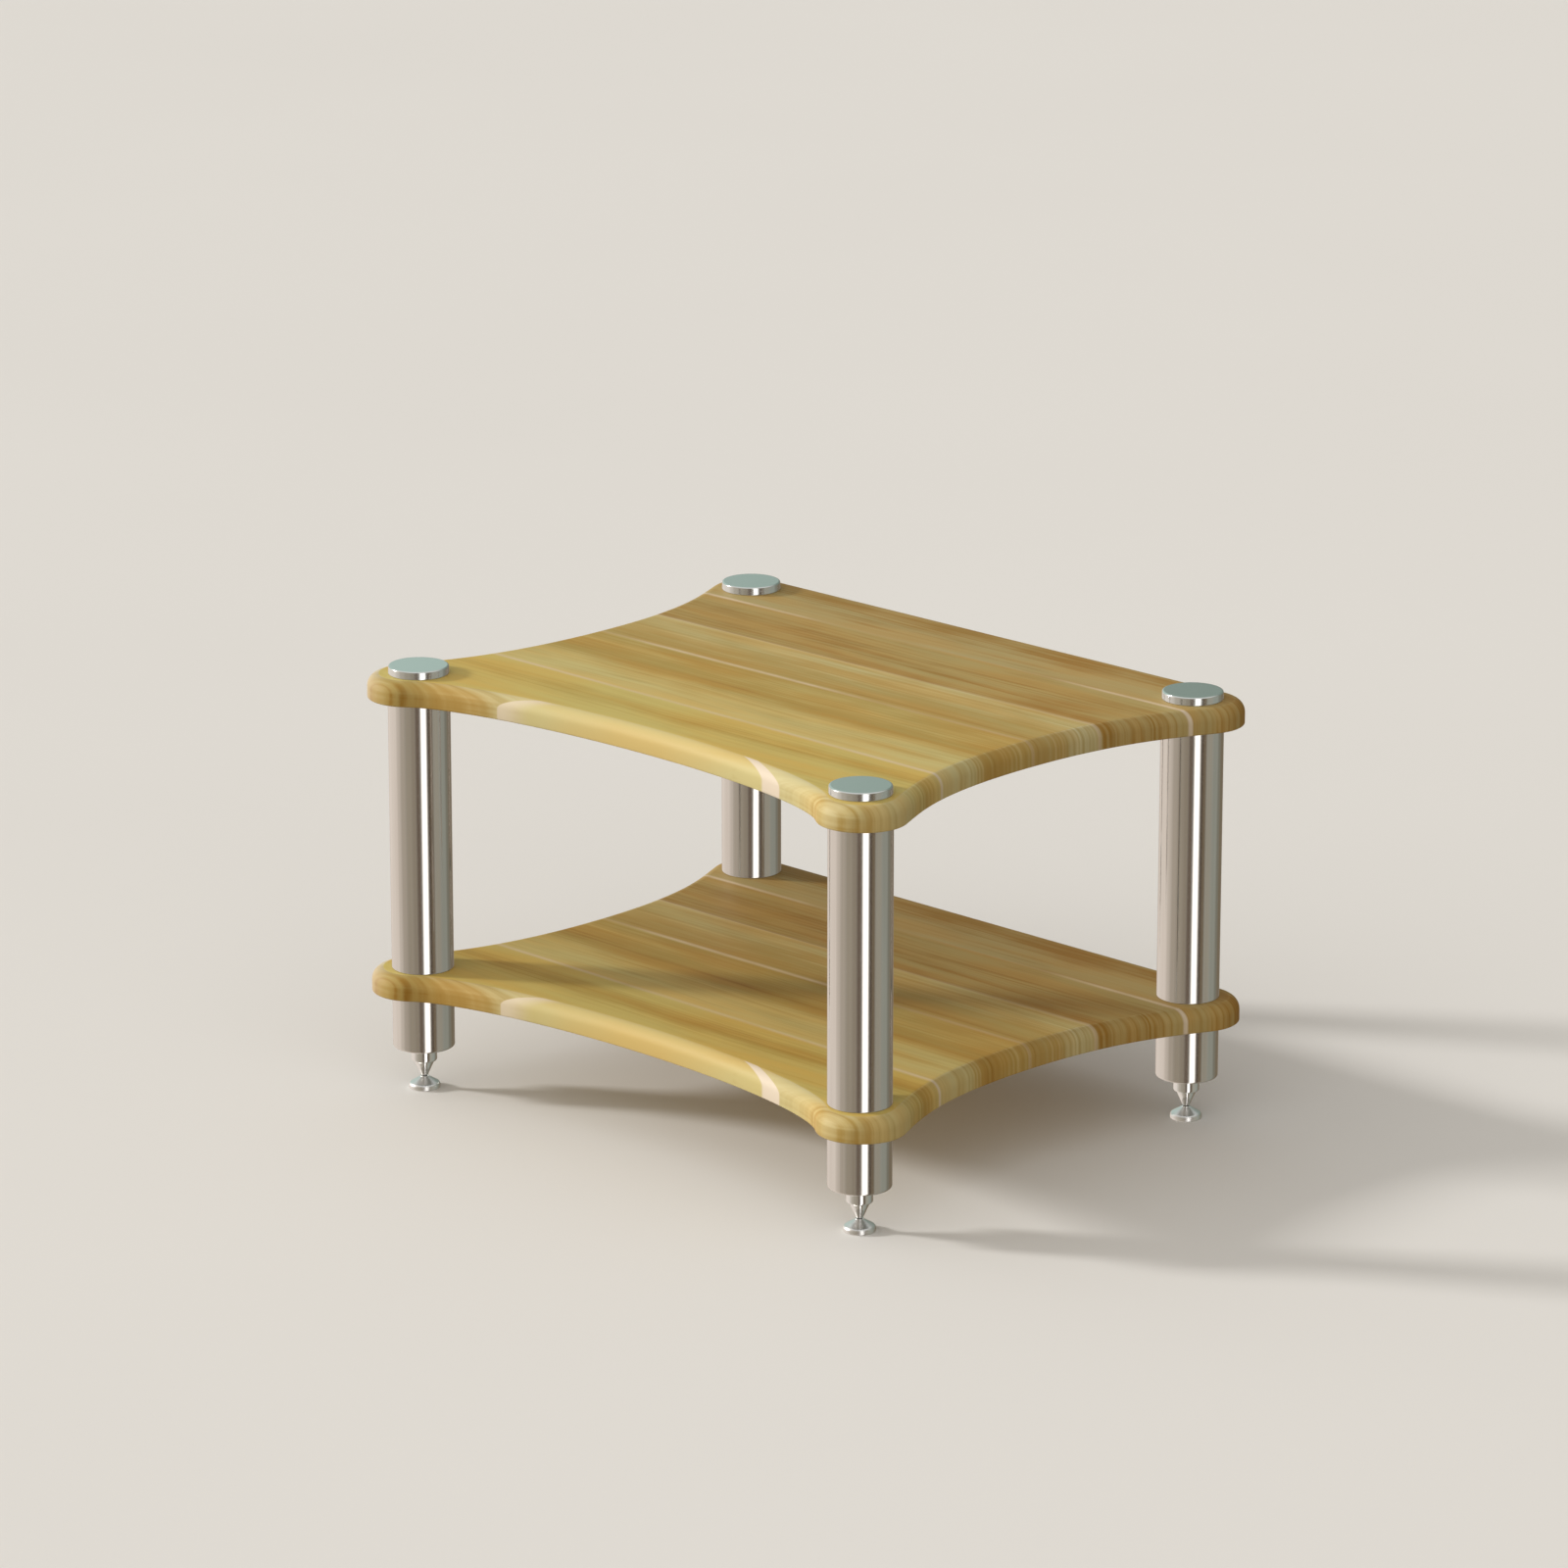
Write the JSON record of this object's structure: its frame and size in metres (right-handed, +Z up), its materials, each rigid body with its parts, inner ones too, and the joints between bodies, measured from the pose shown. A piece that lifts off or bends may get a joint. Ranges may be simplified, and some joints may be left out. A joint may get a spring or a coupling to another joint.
{
  "type": "media storage shelf",
  "caption": "Low two-tier media shelf: waisted wooden boards with rounded edges, carried on round steel columns that stand on adjustable spikes and shoes.",
  "frame": {"origin": "on the floor, midway between the four columns, which is the bottom centre of the bounding box", "axes": "+Z up, the long hollow front edge faces -Y, the straight rear edge faces +Y, +X runs along the shelves"},
  "size_m": [0.582, 0.4625, 0.3618],
  "materials": {
    "shelf_wood": "clear satin lacquer over glued staves",
    "column_steel": "polished along its length, glossy",
    "cap_steel": "polished flat top",
    "plug_metal": "turned",
    "stud_steel": "threaded rod",
    "spike_chrome": "bright plated",
    "shoe_chrome": "bright plated"
  },
  "bodies": {
    "frame": {"shelf_top": "shelf_wood", "shelf_lower": "shelf_wood", "column_upper_front_left": "column_steel", "column_lower_front_left": "column_steel", "plug_upper_top_front_left": "plug_metal", "plug_upper_bottom_front_left": "plug_metal", "plug_lower_top_front_left": "plug_metal", "plug_lower_bottom_front_left": "plug_metal", "joining_stud_front_left": "stud_steel", "cap_front_left": "cap_steel", "column_upper_front_right": "column_steel", "column_lower_front_right": "column_steel", "plug_upper_top_front_right": "plug_metal", "plug_upper_bottom_front_right": "plug_metal", "plug_lower_top_front_right": "plug_metal", "plug_lower_bottom_front_right": "plug_metal", "joining_stud_front_right": "stud_steel", "cap_front_right": "cap_steel", "column_upper_rear_left": "column_steel", "column_lower_rear_left": "column_steel", "plug_upper_top_rear_left": "plug_metal", "plug_upper_bottom_rear_left": "plug_metal", "plug_lower_top_rear_left": "plug_metal", "plug_lower_bottom_rear_left": "plug_metal", "joining_stud_rear_left": "stud_steel", "cap_rear_left": "cap_steel", "column_upper_rear_right": "column_steel", "column_lower_rear_right": "column_steel", "plug_upper_top_rear_right": "plug_metal", "plug_upper_bottom_rear_right": "plug_metal", "plug_lower_top_rear_right": "plug_metal", "plug_lower_bottom_rear_right": "plug_metal", "joining_stud_rear_right": "stud_steel", "cap_rear_right": "cap_steel"},
    "shoe_body_front_left": {"shoe_front_left": "shoe_chrome"},
    "spike_body_front_left": {"spike_front_left": "spike_chrome"},
    "shoe_body_front_right": {"shoe_front_right": "shoe_chrome"},
    "spike_body_front_right": {"spike_front_right": "spike_chrome"},
    "shoe_body_rear_left": {"shoe_rear_left": "shoe_chrome"},
    "spike_body_rear_left": {"spike_rear_left": "spike_chrome"},
    "shoe_body_rear_right": {"shoe_rear_right": "shoe_chrome"},
    "spike_body_rear_right": {"spike_rear_right": "spike_chrome"}
  },
  "joints": [
    {"name": "foot_drop_front_left", "type": "slide", "parent": "frame", "child": "shoe_body_front_left", "axis": [0, 0, -1], "range_m": [0, 0.01]},
    {"name": "spike_turn_front_left", "type": "hinge", "parent": "shoe_body_front_left", "child": "spike_body_front_left", "pos_m": [-0.25, -0.1917, 0.006], "axis": [0, 0, -1], "range_deg": [0, 2880]},
    {"name": "foot_drop_front_right", "type": "slide", "parent": "frame", "child": "shoe_body_front_right", "axis": [0, 0, -1], "range_m": [0, 0.01]},
    {"name": "spike_turn_front_right", "type": "hinge", "parent": "shoe_body_front_right", "child": "spike_body_front_right", "pos_m": [0.25, -0.1917, 0.006], "axis": [0, 0, -1], "range_deg": [0, 2880]},
    {"name": "foot_drop_rear_left", "type": "slide", "parent": "frame", "child": "shoe_body_rear_left", "axis": [0, 0, -1], "range_m": [0, 0.01]},
    {"name": "spike_turn_rear_left", "type": "hinge", "parent": "shoe_body_rear_left", "child": "spike_body_rear_left", "pos_m": [-0.25, 0.1917, 0.006], "axis": [0, 0, -1], "range_deg": [0, 2880]},
    {"name": "foot_drop_rear_right", "type": "slide", "parent": "frame", "child": "shoe_body_rear_right", "axis": [0, 0, -1], "range_m": [0, 0.01]},
    {"name": "spike_turn_rear_right", "type": "hinge", "parent": "shoe_body_rear_right", "child": "spike_body_rear_right", "pos_m": [0.25, 0.1917, 0.006], "axis": [0, 0, -1], "range_deg": [0, 2880]}
  ],
  "couplings": [
    {"joint": "spike_turn_front_left", "follows": "foot_drop_front_left", "rad_per_m": 5026.5},
    {"joint": "spike_turn_front_right", "follows": "foot_drop_front_right", "rad_per_m": 5026.5},
    {"joint": "spike_turn_rear_left", "follows": "foot_drop_rear_left", "rad_per_m": 5026.5},
    {"joint": "spike_turn_rear_right", "follows": "foot_drop_rear_right", "rad_per_m": 5026.5}
  ]
}
